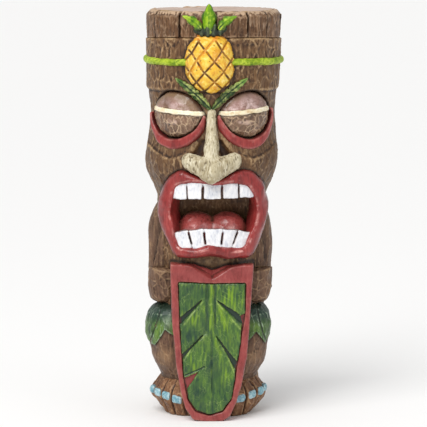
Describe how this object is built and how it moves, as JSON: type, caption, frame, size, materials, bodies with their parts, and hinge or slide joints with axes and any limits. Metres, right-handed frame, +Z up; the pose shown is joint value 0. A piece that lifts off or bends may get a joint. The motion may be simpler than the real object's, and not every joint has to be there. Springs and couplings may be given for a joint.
{
  "type": "tiki figure",
  "caption": "Standing carved and painted tiki totem with closed eyes, open toothed mouth, pineapple headband and a long leaf-panelled tongue board.",
  "frame": {"origin": "centre of the log's flat underside, on the ground", "axes": "+Z up along the log, the figure faces -Y, +X to the viewer's right"},
  "size_m": [0.266, 0.2969, 0.77],
  "materials": {
    "log_brown": "carved wood painted umber brown, tan dry-brushed ridges, satin varnish",
    "limb_brown": "carved wood painted umber brown, tan dry-brushed ridges, satin varnish",
    "stave_wood": "brown painted stave with a pale, chipped top",
    "cord_green": "lime green twisted cord, satin",
    "pineapple_yellow": "yellow-orange paint with dark red-brown grooves, varnished",
    "leaf_light": "bright lime green paint with darker veins",
    "leaf_dark": "dark green paint with light flecks",
    "eyelid_mauve": "smooth mauve-brown paint, glossy varnish",
    "slit_cream": "cream paint",
    "dome_brown": "brown paint with tan crackle lines, glossy varnish",
    "brick_red": "brick red paint, satin varnish",
    "nose_cream": "cream paint streaked with brown",
    "tooth_white": "white paint with a cool tint",
    "tongue_red": "red paint, glossy varnish",
    "panel_green": "streaked green paint over dark green, varnished",
    "knee_green": "dark blue-green paint fading to green tips",
    "foot_brown": "orange-brown paint with dark creases",
    "nail_blue": "light blue paint",
    "dowel_wood": "bare hardwood"
  },
  "bodies": {
    "root": {"trunk": "log_brown", "crown_stave_01": "stave_wood", "crown_stave_02": "stave_wood", "crown_stave_03": "stave_wood", "crown_stave_04": "stave_wood", "crown_stave_05": "stave_wood", "crown_stave_06": "stave_wood", "crown_stave_07": "stave_wood", "crown_stave_08": "stave_wood", "crown_stave_09": "stave_wood", "crown_stave_10": "stave_wood", "crown_stave_11": "stave_wood", "crown_stave_12": "stave_wood", "headband_cord": "cord_green", "pineapple_fruit": "pineapple_yellow", "pineapple_collar": "leaf_dark", "crown_leaf_centre": "leaf_light", "crown_leaf_left": "leaf_light", "crown_leaf_right": "leaf_light", "brow_leaf_left": "leaf_dark", "brow_leaf_right": "leaf_dark", "eyelid_left": "eyelid_mauve", "eyelid_right": "eyelid_mauve", "eye_slit_left": "slit_cream", "eye_slit_right": "slit_cream", "eye_dome_left": "dome_brown", "eye_dome_right": "dome_brown", "eye_bag_left": "brick_red", "eye_bag_right": "brick_red", "nose": "nose_cream", "lips": "brick_red", "upper_tooth_1": "tooth_white", "upper_tooth_2": "tooth_white", "upper_tooth_3": "tooth_white", "upper_tooth_4": "tooth_white", "upper_tooth_5": "tooth_white", "lower_tooth_1": "tooth_white", "lower_tooth_2": "tooth_white", "lower_tooth_3": "tooth_white", "lower_tooth_4": "tooth_white", "lower_tooth_5": "tooth_white", "mouth_tongue": "tongue_red", "tongue_board": "brick_red", "leaf_panel": "panel_green", "arm_left": "limb_brown", "arm_right": "limb_brown", "hand_left": "limb_brown", "hand_right": "limb_brown", "knee_leaf_left": "knee_green", "knee_leaf_right": "knee_green", "leg_left": "limb_brown", "leg_right": "limb_brown", "foot_left": "foot_brown", "foot_right": "foot_brown", "toenails_left": "nail_blue", "toenails_right": "nail_blue", "face_dowels": "dowel_wood", "board_dowels": "dowel_wood", "limb_dowels": "dowel_wood"}
  },
  "joints": []
}
